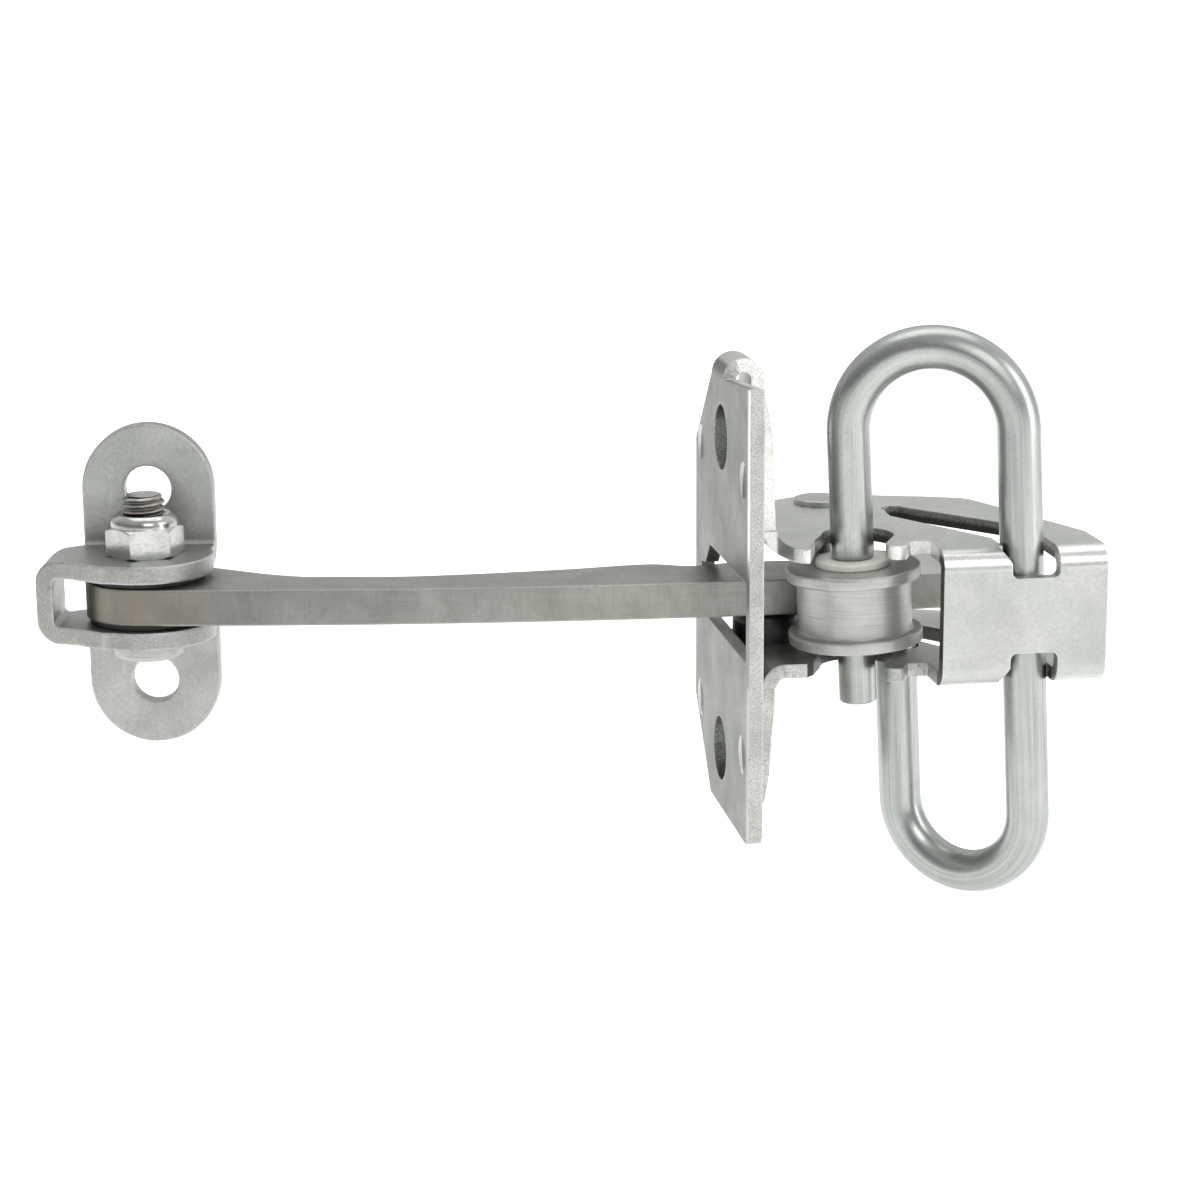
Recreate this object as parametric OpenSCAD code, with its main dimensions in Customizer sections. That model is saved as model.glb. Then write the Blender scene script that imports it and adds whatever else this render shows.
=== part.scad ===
// Door check: a curved arm slides between two rollers in a folded steel housing,
// and a bent torsion rod presses one roller against the arm's profiled edge.
// X runs along the arm, Y away from the sprung roller, Z up. Millimetres.
// The origin is midway between the two door bolt holes, on the face plate's outer face.

/* [Sheet metal] */
// Thickness of the housing's folded sheet
sheet_t = 2.6; // [2.4:0.1:2.8]
// Gap between the face plate and its folded-back layer
hem_gap = 2.8; // [2.4:0.1:3]
// Inside radius of the housing's bends
bend_in = 2; // [1.8:0.1:2.4]

/* [Face plate] */
// Half height of the face plate
plate_half_h = 40.7; // [40:0.1:41.5]
// Distance from the bolt line to the plate's sprung side edge
plate_near = 27.5; // [27:0.1:28]
// Distance from the bolt line to the plate's other side edge
plate_far = 25.4; // [25:0.1:27]
// Half the spacing of the door bolt holes
door_bolt_half = 30; // [29.5:0.1:30.5]
// Radius of the door bolt holes
door_bolt_r = 6.15; // [5:0.05:6.3]
// Half height of the window that the arm runs through
window_half_h = 7.4; // [7.2:0.1:8]

/* [Channel] */
// Half height of the channel, over its two flanges
channel_half_h = 12.4; // [12.3:0.1:12.8]
// How much lower the lower flange is than a mirrored one would be
channel_drop = 0.8; // [0.4:0.1:1]
// Inside radius of the web's bends
web_bend_in = 1.2; // [1:0.1:1.4]
// Outer face of the web, measured from the bolt line
web_y = 27.5; // [27.4:0.1:28]
// Left end of the web
web_x0 = 35.8; // [35.6:0.1:36.5]
// Right end of the web
web_x1 = 66.5; // [66:0.1:68]

/* [Spring rod] */
// Diameter of the bent rod
rod_d = 8; // [7.8:0.1:8]
// Diameter of the journal that the front roller turns on
journal_d = 7; // [6.8:0.1:7]
// Lean of the rod's straight legs in degrees
rod_lean = 2.86; // [2.7:0.02:2.94]
// Height of the upper loop's centre
upper_loop_z = 33.2; // [30:0.1:36]
// Depth of the lower loop's centre
lower_loop_z = 39.3; // [36:0.1:42]

/* [Front roller] */
// Radius of the roller's flanges
roller_flange_r = 12.5; // [12:0.05:12.6]
// Radius of the roller's working face
roller_body_r = 10.64; // [10.5:0.02:10.7]
// Half height of the roller
roller_half_h = 7.2; // [7.1:0.05:7.3]
// Thickness of each roller flange
roller_flange_t = 2.3; // [2.1:0.1:2.4]

/* [Counter roller] */
// Radius of the counter roller
counter_r = 3.6; // [3.4:0.1:3.7]
// Diameter of the rivet's shank
rivet_d = 5; // [4.6:0.1:5.2]
// Radius of the rivet's heads
rivet_head_r = 5; // [4.8:0.1:5.6]

/* [Arm] */
// Thickness of the arm
arm_t = 6.8; // [6.6:0.1:6.8]
// Radius of the arm's smooth edge, which is the path that it slides along
arm_path_r = 710; // [700:5:720]
// Radius of the arm's eye
eye_r = 11.6; // [11.4:0.1:11.8]
// Distance along X from the pivot to the front roller's axis
arm_reach = 130.3; // [129:0.1:132]
// Length of the arm's tail beyond the front roller
tail_l = 34.5; // [34:0.5:36]

/* [Pillar bracket] */
// Thickness of the bracket's sheet
bracket_t = 3.3; // [3.1:0.1:3.3]
// Radius of the bracket's ears and lobes
lobe_r = 12.6; // [12.4:0.1:12.8]
// Half the spacing of the pillar bolt holes
pillar_bolt_half = 18.9; // [18.4:0.1:19]
// Radius of the pillar bolt holes
pillar_bolt_r = 4.55; // [4.2:0.05:4.7]
// Distance from the pivot axis to the front of the lobes
lobe_offset = 8.6; // [8.4:0.1:8.8]
// Turn of the bracket about the pivot in degrees
bracket_turn = -8.5; // [-10:0.5:-7]

/* [Pivot bolt] */
// Diameter of the pivot bolt's thread
bolt_d = 8; // [7.9:0.1:8]
// Width of the nut across its flats
nut_flats = 13; // [12.8:0.1:13]
// Height of the nut's hexagon
nut_hex_h = 5.8; // [5.6:0.1:6]
// Height of the nut's collar
nut_collar_h = 2.2; // [2:0.1:2.4]
// Thickness of each pivot bush's flange
bush_flange_t = 1.3; // [1.2:0.05:1.4]

/* [Hidden] */
$fn = 96;

cut = 1;                 // how far a cutting body runs past the face that it cuts
fit = 0.05;              // radial clearance of a running fit
touch = 0.1;             // clearance of a rolling contact

// Places of the housing's folds
layer_x0 = sheet_t + hem_gap;
layer_x1 = layer_x0 + sheet_t;
bend_out = bend_in + sheet_t;
web_bend_out = web_bend_in + sheet_t;
bend_x = layer_x1 + bend_in;
bend_z = channel_half_h + bend_in;
flange_z0 = channel_half_h - sheet_t;
floor_z = -flange_z0 - channel_drop;

// The rod's torsion leg stands just behind the web, and the other legs are placed from it
rod_r = rod_d / 2;
torsion_leg = [52.6, -web_y + sheet_t + rod_r + touch];
roller_leg = [-29.1, 11];
anchor_leg = [-19.8, 18.3];
roller_z = 1.2;          // height of the roller's middle in the leaning rod's frame
shoulder_gap = 1.4;      // thickness of the roller bush's flange
journal_end_z = -17.8;
anchor_end_z = -7.5;

roller_x = torsion_leg[0] + roller_leg[0];
roller_y = torsion_leg[1] + roller_leg[1];
rivet_at = [23.9, 22.1];

// The arm's smooth edge is an arc about this centre
path_y = roller_y + roller_body_r + touch;
path_centre = [roller_x, path_y + arm_path_r];
arm_z = -1.35;
eye_path_r = arm_path_r - eye_r;
pivot = [roller_x - arm_reach, path_centre[1] - sqrt(eye_path_r ^ 2 - arm_reach ^ 2)];
arm_x0 = roller_x - arm_reach * arm_path_r / eye_path_r;
pivot_bore_r = 6.5;
sleeve_r = 5.5;
bush_flange_r = 11;

// Stations of the arm's width: place along X from the roller's axis, and width there
arm_stations = [[-95, 11.4], [-83, 11], [-71.5, 12], [-51.5, 14.7], [-34.5, 17.4], [-26.5, 14.7],
                [-16.5, 17], [0.5, 16], [13, 16.6], [40, 16.6]];
arm_step = 1.5;

ear_in = arm_t / 2 + bush_flange_t;
ear_out = ear_in + bracket_t;
strap_x = 20.2;          // distance from the pivot axis to the outside of the strap
lobe_x = -0.5;           // sideways shift of the lobes from the pivot axis

// ---------- shared helpers ----------

// Slope of the arm's width at station i
function slope_at(i) =
    let(a = arm_stations[max(i - 1, 0)], b = arm_stations[min(i + 1, len(arm_stations) - 1)])
    (b[1] - a[1]) / (b[0] - a[0]);

// Width of the arm at place x, a smooth cubic between the stations either side of it
function width_at(x, i = 0) =
    x > arm_stations[i + 1][0] && i < len(arm_stations) - 2 ? width_at(x, i + 1)
    : let(a = arm_stations[i], b = arm_stations[i + 1], gap = b[0] - a[0],
          t = min(1, max(0, (x - a[0]) / gap)))
      a[1] * (1 - t) ^ 2 * (1 + 2 * t) + b[1] * t ^ 2 * (3 - 2 * t)
      + slope_at(i) * gap * t * (1 - t) ^ 2 - slope_at(i + 1) * gap * t ^ 2 * (1 - t);

// Point at place x and at depth d behind the arm's smooth edge
function path_point(x, d) =
    let(a = asin((x - path_centre[0]) / arm_path_r))
    path_centre + (arm_path_r - d) * [sin(a), -cos(a)];

// Solid between two X values with its outline drawn in Y and Z
module slab_x(x0, x1) {
    translate([x0, 0, 0]) rotate([90, 0, 90]) linear_extrude(x1 - x0) children();
}

// Solid between two Z values
module slab_z(z0, z1) {
    translate([0, 0, z0]) linear_extrude(z1 - z0) children();
}

// Rectangle with round corners
module round_rect(x0, y0, x1, y1, r) {
    translate([x0 + r, y0]) square([x1 - x0 - 2 * r, y1 - y0]);
    translate([x0, y0 + r]) square([x1 - x0, y1 - y0 - 2 * r]);
    for (x = [x0 + r, x1 - r], y = [y0 + r, y1 - r]) translate([x, y]) circle(r);
}

// Children in the frame of the leaning rod
module rod_frame() {
    translate([torsion_leg[0], torsion_leg[1], 0]) rotate([0, -rod_lean, 0]) children();
}

// Children in the bracket's frame
module bracket_frame() {
    translate([pivot[0], pivot[1], arm_z]) rotate([0, 0, bracket_turn]) children();
}

// ---------- housing ----------

// Face plate outline in Y and Z
module plate_outline() {
    chamfer_y = 9.5;
    shoulder_z = 25.6;
    foot_z = -plate_half_h - 0.8;
    corner = 3.4;
    difference() {
        union() {
            polygon([[-plate_near, plate_half_h + 2.2], [-plate_near, foot_z + corner],
                     [-plate_near + corner, foot_z], [chamfer_y, foot_z],
                     [plate_far, -shoulder_z], [plate_far, shoulder_z],
                     [chamfer_y, plate_half_h], [hem_y0, plate_half_h],
                     [hem_y0 - 0.4, plate_half_h + 0.2]]);
            translate([-plate_near + corner, foot_z + corner]) circle(corner);
        }
        plate_window();
        door_bolt_holes();
    }
}

// Window for the arm, chamfered at its far end
module plate_window() {
    near = -24.4;
    far = 19.4;
    polygon([[near, window_half_h], [near, -window_half_h], [far - 2.4, -window_half_h],
             [far, -5], [far, 2.5], [far - 4, 2.9], [far - 8.8, window_half_h]]);
}

module door_bolt_holes() {
    for (s = [-1, 1]) translate([0, s * door_bolt_half]) circle(door_bolt_r);
}

// Layer behind the upper half of the plate, from the hem down to the flange's bend
module upper_layer_outline() {
    difference() {
        polygon([[hem_y0, plate_half_h], [-1, 38.6], [-7, 33], [-9.3, 29.4], [-10.3, 22.5],
                 [layer_near, bend_z], [22, bend_z], [22, 26.5], [hem_y1, plate_half_h]]);
        door_bolt_holes();
    }
}

// Layer behind the lower half of the plate, which has no hem
module lower_layer_outline() {
    difference() {
        polygon([[-3, -40.5], [-7.4, -34], [-9.8, -25], [-12.2, -19],
                 [layer_near, -bend_z - channel_drop], [22, -bend_z - channel_drop],
                 [22, -26.5], [9, -39.5], [7, -40.5]]);
        door_bolt_holes();
    }
}

hem_y0 = -1;
hem_y1 = 9.5;
layer_near = -12;

// Half ring that folds the plate back over itself
module hem() {
    translate([layer_x0 - hem_gap / 2, hem_y0, plate_half_h]) rotate([-90, 0, 0])
        linear_extrude(hem_y1 - hem_y0) difference() {
            circle(hem_gap / 2 + sheet_t);
            circle(hem_gap / 2);
            translate([-bend_out * 2, 0]) square(bend_out * 4);
        }
}

// Quarter bend from the layer behind the plate into the upper flange, with a slanted near end
module flange_bend(near_y) {
    difference() {
        translate([bend_x, near_y, bend_z]) rotate([-90, 0, 0]) linear_extrude(22 - near_y)
            intersection() {
                difference() {
                    circle(bend_out);
                    circle(bend_in);
                }
                translate([-bend_out, 0]) square(bend_out);
            }
        slab_z(0, bend_z + cut) polygon([
            [0, near_y - cut], [0, layer_near - 0.6], [layer_x1, layer_near - 1.6],
            [bend_x, near_y], [bend_x, near_y - cut]]);
    }
}

// Flange outline in X and Y up to the web's bend; its near corner by the plate differs
module flange_outline(near_edge) {
    web_line = -web_y + web_bend_out;
    bump = [29.2, -18.6];
    difference() {
        union() {
            polygon(concat(near_edge, [[arch_at[0], -3], [27, -13], [bump[0] - 2, bump[1]],
                     [bump[0] + 2, bump[1]], [32, -17], [web_x0, -17], [web_x0, web_line],
                     [web_x1, web_line], [66.4, -13.3], [62.2, -2.1], [57, 12.2], [53.8, 20.2],
                     [52.4, 21.9], [46, 24.6], [36.3, 27.7], [27.6, 30], [24, 30.2],
                     [20.8, 29.3], [16, 26.6], [bend_x, 22.6]]));
            translate(bump) circle(2);
        }
        arch_outline();
        slot_outline();
    }
}

upper_near_edge = [[bend_x, -18.7], [11.2, -20.3], [12.1, -20.7], [13.4, -20.4]];
lower_near_edge = [[bend_x, -14.2], [13.6, -14.4]];
arch_at = [24.2, -8.7];
arch_r = 6.7;

// Arch that leaves room for the roller's leg
module arch_outline() {
    translate(arch_at) circle(arch_r);
    polygon([[12.5, -21], [15.2, -12.6], [17.7, -7.4], [arch_at[0], -5], [30.6, -10.8],
             [27.3, -17.6], [27.2, -24], [12.5, -24]]);
}

// Slot that the torsion leg is fitted through; it opens into the web's notch
module slot_outline() {
    head_r = 2;
    polygon([[34.3, 7], [34.6, 15.2], [36.4, 16.8], [38.2, 16.2], [53.2, -2.4], [57.4, -12],
             [57.4, -web_y - cut], [47.6, -web_y - cut], [47.6, -16.4]]);
    translate([36.5, 14.6]) circle(head_r);
}

// Notch that lets the anchor leg hook into the lower flange
module anchor_notch() {
    translate([33.4, torsion_leg[1] + anchor_leg[1]]) circle(rod_r + 0.35);
}

// Web with its two bends, as a channel section drawn in Y and Z
module web() {
    open_y = -15;
    low_z = -channel_half_h - channel_drop;
    difference() {
        slab_x(web_x0, web_x1) difference() {
            round_rect(-web_y, low_z, open_y, channel_half_h, web_bend_out);
            round_rect(-web_y + sheet_t, floor_z, open_y + cut, flange_z0, web_bend_in);
            translate([-web_y + web_bend_out, low_z - cut])
                square([web_y, 2 * channel_half_h + channel_drop + 2 * cut]);
        }
        for (s = [-1, 1]) web_notch(s);
        web_end_round(channel_half_h, -2);
        web_end_round(low_z, 0);
    }
}

// Notch at the web's edge beside the torsion leg
module web_notch(side) {
    notch_z = 7;
    x0 = 48.5;
    x1 = 57.4;
    corner = 1.2;
    depth = web_bend_out + 2 * cut;
    translate([0, -web_y + depth - cut, 0]) rotate([90, 0, 0]) linear_extrude(depth)
        scale([1, side]) {
            translate([x0, notch_z + corner]) square([x1 - x0, channel_half_h]);
            translate([x0 + corner, notch_z]) square([x1 - x0 - 2 * corner, channel_half_h]);
            for (x = [x0 + corner, x1 - corner]) translate([x, notch_z + corner]) circle(corner);
            polygon([[x0, 9.8], [x0 - 3, 14.2], [x0 + 1, 14.2], [x0 + 1, 9.8]]);
        }
}

// Cut that rounds one of the web's free corners at its right end
module web_end_round(edge_z, side) {
    r = 2;
    centre_z = edge_z + (side < 0 ? -r : r);
    translate([web_x1 - r, -web_y - cut, centre_z]) rotate([-90, 0, 0])
        linear_extrude(sheet_t + cut) difference() {
            translate([0, side * r]) square(2 * r);
            circle(r);
        }
}

// Round press marks on the plate
module plate_dimples() {
    dimple_r = 3.7;
    depth = 0.8;
    ball_r = (dimple_r * dimple_r + depth * depth) / (2 * depth);
    for (y = [-21, 20.4], z = [-25.4, 25.4]) translate([depth - ball_r, y, z]) sphere(ball_r);
}

// Flange and its bend, drawn as the upper one
module flange_half(near_edge) {
    slab_z(flange_z0, channel_half_h) flange_outline(near_edge);
    flange_bend(near_edge[0][1]);
}

module housing() {
    color([0.74, 0.75, 0.73]) difference() {
        union() {
            slab_x(0, sheet_t) plate_outline();
            hem();
            slab_x(layer_x0, layer_x1) upper_layer_outline();
            slab_x(layer_x0, layer_x1) lower_layer_outline();
            flange_half(upper_near_edge);
            translate([0, 0, -channel_drop]) mirror([0, 0, 1]) flange_half(lower_near_edge);
            web();
        }
        plate_dimples();
        slab_z(floor_z - sheet_t - cut, floor_z + cut) anchor_notch();
        translate([rivet_at[0], rivet_at[1], floor_z - sheet_t - cut])
            cylinder(r = rivet_d / 2, h = 2 * channel_half_h + 3 * cut);
        translate([stem_x, button_at[1], floor_z - sheet_t - cut])
            cylinder(r = button_stem_r, h = sheet_t + 2 * cut);
    }
}

// ---------- counter roller and guide button ----------

// Rivet with a low round head at each end
module counter_rivet() {
    head_h = 1.2;
    crown = 0.25;
    top = channel_half_h;
    foot = floor_z - sheet_t;
    color([0.68, 0.69, 0.66]) translate([rivet_at[0], rivet_at[1], 0]) rotate_extrude()
        polygon([[0, foot - head_h], [rivet_head_r - crown, foot - head_h],
                 [rivet_head_r, foot - head_h + crown], [rivet_head_r, foot],
                 [rivet_d / 2, foot], [rivet_d / 2, top],
                 [rivet_head_r, top], [rivet_head_r, top + head_h - crown],
                 [rivet_head_r - crown, top + head_h], [0, top + head_h]]);
}

module counter_roller() {
    play = 0.3;
    roller_h = flange_z0 - floor_z - 2 * play;
    color([0.45, 0.45, 0.44]) translate([rivet_at[0], rivet_at[1], floor_z + play]) difference() {
        cylinder(r = counter_r, h = roller_h);
        translate([0, 0, -cut]) cylinder(r = rivet_d / 2 + fit, h = roller_h + 2 * cut);
    }
}

button_at = [10.2, 7.4];
button_r = 6.3;
stem_x = 11;
button_stem_r = 2.2;

// Flat-topped button under the arm: its skirt sits over the flange's bend
module guide_button() {
    top_z = arm_z - arm_t / 2 - fit;
    button_h = top_z - floor_z;
    skirt = 2.4;
    edge_r = 2;
    color([0.2, 0.2, 0.2]) {
        difference() {
            translate([button_at[0], button_at[1], floor_z]) rotate_extrude() {
                translate([0, -skirt]) square([button_r, button_h + skirt - edge_r]);
                translate([0, -skirt]) square([button_r - edge_r, button_h + skirt]);
                translate([button_r - edge_r, button_h - edge_r]) intersection() {
                    circle(edge_r);
                    square(edge_r);
                }
            }
            translate([bend_x, -plate_near, floor_z - 2 * sheet_t])
                cube([2 * button_r, 2 * plate_near, 2 * sheet_t]);
            translate([bend_x, -plate_near, -bend_z - channel_drop]) rotate([-90, 0, 0])
                cylinder(r = bend_out, h = 2 * plate_near);
        }
        translate([stem_x, button_at[1], floor_z - sheet_t - 0.8])
            cylinder(r = button_stem_r, h = sheet_t + 1.8);
    }
}

// ---------- spring rod and front roller ----------

// Children in a frame whose X axis runs from the torsion leg to another leg
module leg_frame(leg) {
    rod_frame() rotate([0, 0, atan2(leg[1], leg[0])]) children();
}

// Rod from the torsion leg's middle, round a half turn, and down the second leg to end_z
module bent_rod(span, loop_z, end_z) {
    cylinder(r = rod_r, h = loop_z);
    translate([span / 2, 0, loop_z]) rotate([90, 0, 0])
        rotate_extrude(angle = 180) translate([span / 2, 0]) circle(rod_r);
    translate([span, 0, end_z]) cylinder(r = rod_r, h = loop_z - end_z);
}

// Sprung half of the rod: torsion leg, upper loop and roller leg with its journal
module spring_rod_upper() {
    span = norm(roller_leg);
    shoulder_z = roller_z + roller_half_h + shoulder_gap;
    color([0.72, 0.73, 0.71]) leg_frame(roller_leg) {
        bent_rod(span, upper_loop_z, shoulder_z);
        translate([span, 0, journal_end_z]) cylinder(d = journal_d, h = shoulder_z - journal_end_z);
    }
}

// Anchored half of the rod: torsion leg, lower loop and anchor leg
module spring_rod_lower() {
    color([0.72, 0.73, 0.71]) leg_frame(anchor_leg) mirror([0, 0, 1])
        bent_rod(norm(anchor_leg), lower_loop_z, -anchor_end_z);
}

bush_wall_r = 5.1;

// Flanged roller with a groove between its flanges
module front_roller() {
    groove = roller_half_h - roller_flange_t;
    root = 0.2;
    color([0.7, 0.71, 0.69]) rod_frame() translate([roller_leg[0], roller_leg[1], roller_z])
        rotate_extrude() polygon([
            [bush_wall_r, -roller_half_h], [roller_flange_r, -roller_half_h],
            [roller_flange_r, -groove], [roller_body_r + root, -groove],
            [roller_body_r, -groove + root], [roller_body_r, groove - root],
            [roller_body_r + root, groove], [roller_flange_r, groove],
            [roller_flange_r, roller_half_h], [bush_wall_r, roller_half_h]]);
}

// Plastic bush pressed into the roller, with a flange under the rod's shoulder
module front_roller_bush() {
    flange_r = 6.95;
    color([0.93, 0.92, 0.87]) rod_frame() translate([roller_leg[0], roller_leg[1], roller_z])
        difference() {
            union() {
                translate([0, 0, -roller_half_h]) cylinder(r = bush_wall_r, h = 2 * roller_half_h);
                translate([0, 0, roller_half_h]) cylinder(r = flange_r, h = shoulder_gap - fit);
            }
            translate([0, 0, -roller_half_h - cut])
                cylinder(r = journal_d / 2 + fit, h = 2 * roller_half_h + shoulder_gap + 2 * cut);
        }
}

// ---------- arm ----------

// Arm outline: the smooth edge as an arc, the other edge from the stations, and the eye
module arm_outline() {
    x_start = arm_x0;
    x_end = roller_x + tail_l;
    xs = [for (x = x_start; x < x_end; x = x + arm_step) x, x_end];
    edge = [for (x = xs) path_point(x, 0)];
    back = [for (i = [len(xs) - 1 : -1 : 0]) path_point(xs[i], back_depth(xs[i]))];
    translate(pivot) circle(eye_r);
    polygon(concat(edge, back));
    stop_lug_outline();
}

// Lug on the arm's tail that meets the housing at full opening
module stop_lug_outline() {
    round_rect(roller_x + 16.5, 6, roller_x + tail_l - 1.5, 24, 3.5);
}

// Depth of the arm's profiled edge, which leaves the eye with a smooth neck
function back_depth(x) =
    let(neck = 34, t = (x - arm_x0) / neck)
    t < 1 ? width_at(x - roller_x) + (2 * eye_r - 11.4) * (1 + cos(180 * t)) / 2
          : width_at(x - roller_x);

module check_arm() {
    color([0.58, 0.58, 0.55]) slab_z(arm_z - arm_t / 2, arm_z + arm_t / 2) difference() {
        arm_outline();
        translate(pivot) circle(pivot_bore_r + fit);
    }
}

// ---------- pivot ----------

// Flanged bush in one side of the arm's eye
module pivot_bush() {
    wall_gap = 0.15;
    color([0.1, 0.1, 0.1]) translate([pivot[0], pivot[1], arm_z]) difference() {
        union() {
            translate([0, 0, wall_gap]) cylinder(r = pivot_bore_r, h = arm_t / 2);
            translate([0, 0, arm_t / 2 + 0.02])
                cylinder(r = bush_flange_r, h = bush_flange_t - 0.02 - fit);
        }
        translate([0, 0, -cut]) cylinder(r = sleeve_r + fit, h = ear_in + 2 * cut);
    }
}

module upper_pivot_bush() {
    pivot_bush();
}

module lower_pivot_bush() {
    translate([0, 0, 2 * arm_z]) mirror([0, 0, 1]) pivot_bush();
}

// Steel spacer that the two ears are clamped on
module pivot_sleeve() {
    color([0.62, 0.62, 0.6]) bracket_frame() translate([0, 0, -ear_in]) difference() {
        cylinder(r = sleeve_r, h = 2 * ear_in);
        translate([0, 0, -cut]) cylinder(r = bolt_d / 2 + fit, h = 2 * ear_in + 2 * cut);
    }
}

// Bolt with a low round head below and its thread end above
module pivot_bolt() {
    head_r = 6.75;
    head_h = 4;
    crown = 0.6;
    chamfer = 0.75;
    end_z = ear_out + nut_hex_h + nut_collar_h + 3.6;
    color([0.66, 0.65, 0.62]) bracket_frame() rotate_extrude()
        polygon([[0, -ear_out - head_h], [head_r - crown, -ear_out - head_h],
                 [head_r, -ear_out - head_h + crown], [head_r, -ear_out],
                 [bolt_d / 2, -ear_out], [bolt_d / 2, end_z - chamfer],
                 [bolt_d / 2 - chamfer, end_z], [0, end_z]]);
}

insert_r = 4.8;
insert_h = 1.7;

// Hexagon nut with a round collar that holds a locking insert
module lock_nut() {
    collar_r = 6.4;
    lip = 0.5;
    corner_turn = 17;
    height = nut_hex_h + nut_collar_h;
    color([0.8, 0.81, 0.8]) bracket_frame() translate([0, 0, ear_out]) difference() {
        union() {
            rotate([0, 0, corner_turn]) intersection() {
                cylinder(d = nut_flats / cos(30), h = nut_hex_h, $fn = 6);
                rotate_extrude() polygon([[0, 0], [nut_flats / 2 + 0.2, 0], [nut_flats / 2 + 1.2, 0.6],
                                          [nut_flats / 2 + 1.2, nut_hex_h - 0.9],
                                          [nut_flats / 2 - 0.3, nut_hex_h], [0, nut_hex_h]]);
            }
            rotate_extrude() polygon([
                [0, nut_hex_h - 0.5], [collar_r, nut_hex_h - 0.5], [collar_r, height - 1.5],
                [collar_r - 0.25, height - 0.9], [collar_r - 0.7, height - 0.4],
                [collar_r - 1.3, height], [0, height]]);
        }
        translate([0, 0, -cut]) cylinder(r = bolt_d / 2 + 0.02, h = height + 2 * cut);
        translate([0, 0, height - lip - insert_h]) cylinder(r = insert_r, h = insert_h);
    }
}

// Nylon ring inside the nut's collar
module lock_nut_insert() {
    lip = 0.5;
    inset = 0.02;
    color([0.85, 0.85, 0.8]) bracket_frame()
        translate([0, 0, ear_out + nut_hex_h + nut_collar_h - lip - insert_h + inset]) difference() {
            cylinder(r = insert_r - inset, h = insert_h - 2 * inset);
            translate([0, 0, -cut]) cylinder(r = bolt_d / 2 + 0.02, h = insert_h + 2 * cut);
        }
}

// ---------- pillar bracket ----------

// Ear and strap outline seen from above, in the bracket's frame
module ear_outline() {
    circle(lobe_r + 0.2);
    translate([lobe_x - lobe_r, 0]) square([2 * lobe_r, lobe_offset + bracket_t]);
    polygon([[-strap_x, -5.6], [-strap_x, 2.4], [-17.6, 5.4], [-lobe_r, 8.8], [0, 8], [0, -lobe_r],
             [-7, -lobe_r + 1.1], [-12.6, -7.8]]);
}

// Outline of one lobe seen from the front
module lobe_outline() {
    translate([lobe_x, pillar_bolt_half]) circle(lobe_r);
    translate([lobe_x - lobe_r, 0]) square([2 * lobe_r, pillar_bolt_half]);
}

// Upper half of the bracket: half the strap, one ear and one lobe
module bracket_half() {
    fold_in = 1;
    fold_out = fold_in + bracket_t;
    back = lobe_offset + bracket_t;
    intersection() {
        slab_z(0, ear_out) ear_outline();
        rotate([90, 0, 0]) translate([0, 0, -2 * lobe_r]) linear_extrude(4 * lobe_r) difference() {
            round_rect(-strap_x, -ear_out, 2 * lobe_r, ear_out, 4.4);
            round_rect(-strap_x + bracket_t, -ear_in, 3 * lobe_r, ear_in, 1.1);
        }
        slab_x(-2 * strap_x, 2 * strap_x) difference() {
            translate([-2 * lobe_r, 0]) square([2 * lobe_r + back, ear_out]);
            fold_corner(back - fold_out, ear_in + fold_out, fold_out);
        }
    }
    intersection() {
        translate([0, back, 0]) rotate([90, 0, 0]) linear_extrude(bracket_t + fold_in) lobe_outline();
        slab_x(lobe_x - lobe_r, lobe_x + lobe_r) difference() {
            translate([lobe_offset - fold_in, ear_in]) square([bracket_t + fold_in, 3 * lobe_r]);
            fold_corner(back - fold_out, ear_in + fold_out, fold_out);
            translate([lobe_offset - fold_in, ear_out + fold_in]) circle(fold_in);
            translate([lobe_offset - fold_in - cut, ear_out + fold_in]) square([fold_in + cut, 3 * lobe_r]);
        }
    }
}

// Waste outside a convex fold whose centre is at y, z
module fold_corner(y, z, r) {
    difference() {
        translate([y, z - 2 * r]) square([2 * r, 2 * r]);
        circle_at(y, z, r);
    }
}

module circle_at(y, z, r) {
    translate([y, z]) circle(r);
}

module pillar_bracket() {
    color([0.72, 0.73, 0.71]) bracket_frame() difference() {
        union() {
            bracket_half();
            mirror([0, 0, 1]) bracket_half();
        }
        translate([0, 0, -2 * ear_out]) cylinder(r = bolt_d / 2 + fit, h = 4 * ear_out);
        for (s = [-1, 1])
            translate([lobe_x, lobe_offset + bracket_t + cut, s * pillar_bolt_half]) rotate([90, 0, 0])
                cylinder(r = pillar_bolt_r, h = bracket_t + 2 * cut);
    }
}

housing();
counter_rivet();
counter_roller();
guide_button();
spring_rod_lower();
spring_rod_upper();
front_roller();
front_roller_bush();
check_arm();
upper_pivot_bush();
lower_pivot_bush();
pillar_bracket();
pivot_bolt();
pivot_sleeve();
lock_nut();
lock_nut_insert();
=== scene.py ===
import bpy
import bmesh
import math
from mathutils import Matrix, Vector


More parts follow.
